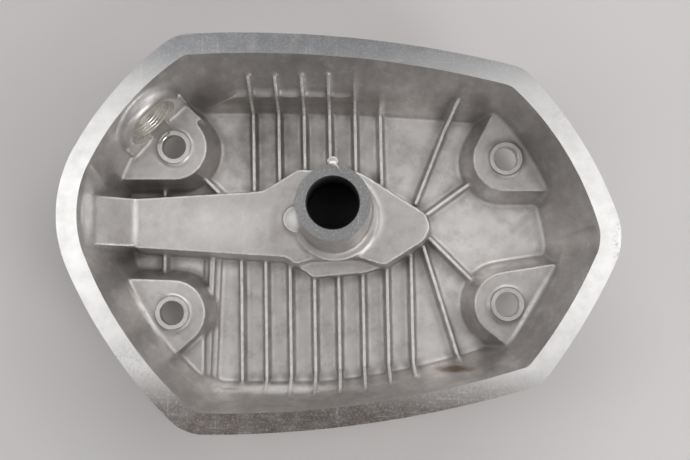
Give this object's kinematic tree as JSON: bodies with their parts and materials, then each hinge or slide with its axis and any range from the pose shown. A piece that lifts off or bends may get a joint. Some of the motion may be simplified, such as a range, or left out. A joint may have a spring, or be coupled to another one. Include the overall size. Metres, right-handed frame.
{
  "type": "cylinder head cover",
  "caption": "Cast aluminium rocker cover for a flat engine's cylinder head, with ribbed floor, plug tube, bolt bosses, oil filler plug and a lid over the plug lead.",
  "frame": {"origin": "axis of the plug tube in the plane of the flange face", "axes": "+Z leaves the open side, so the dome is at negative Z; +X runs along the cover away from the end where the plug lead leaves; the oil filler is in the -X, +Y corner"},
  "size_m": [0.2559, 0.1825, 0.054],
  "materials": {
    "cast_aluminium": "satin die-cast skin with a machined flange",
    "plug_aluminium": "turned",
    "seal_rubber": "matte",
    "lid_plastic": "fine grain"
  },
  "bodies": {
    "casting": {"cover_casting": "cast_aluminium"},
    "filler_seal": {"filler_o_ring": "seal_rubber"},
    "filler_screw": {"filler_plug": "plug_aluminium"},
    "lead_lid": {"lead_cover": "lid_plastic"}
  },
  "joints": [
    {"name": "filler_travel", "type": "slide", "parent": "casting", "child": "filler_seal", "axis": [-0.7242, 0.6754, -0.1392], "range_m": [0, 0.006]},
    {"name": "filler_turn", "type": "hinge", "parent": "filler_seal", "child": "filler_screw", "pos_m": [-0.09564, 0.04945, -0.02245], "axis": [-0.7242, 0.6754, -0.1392], "range_deg": [0, 1440]},
    {"name": "lead_lid_lift", "type": "slide", "parent": "casting", "child": "lead_lid", "axis": [0, 0, -1], "range_m": [0, 0.03]}
  ],
  "couplings": [
    {"joint": "filler_travel", "follows": "filler_turn", "m_per_rad": 0.00023873}
  ]
}
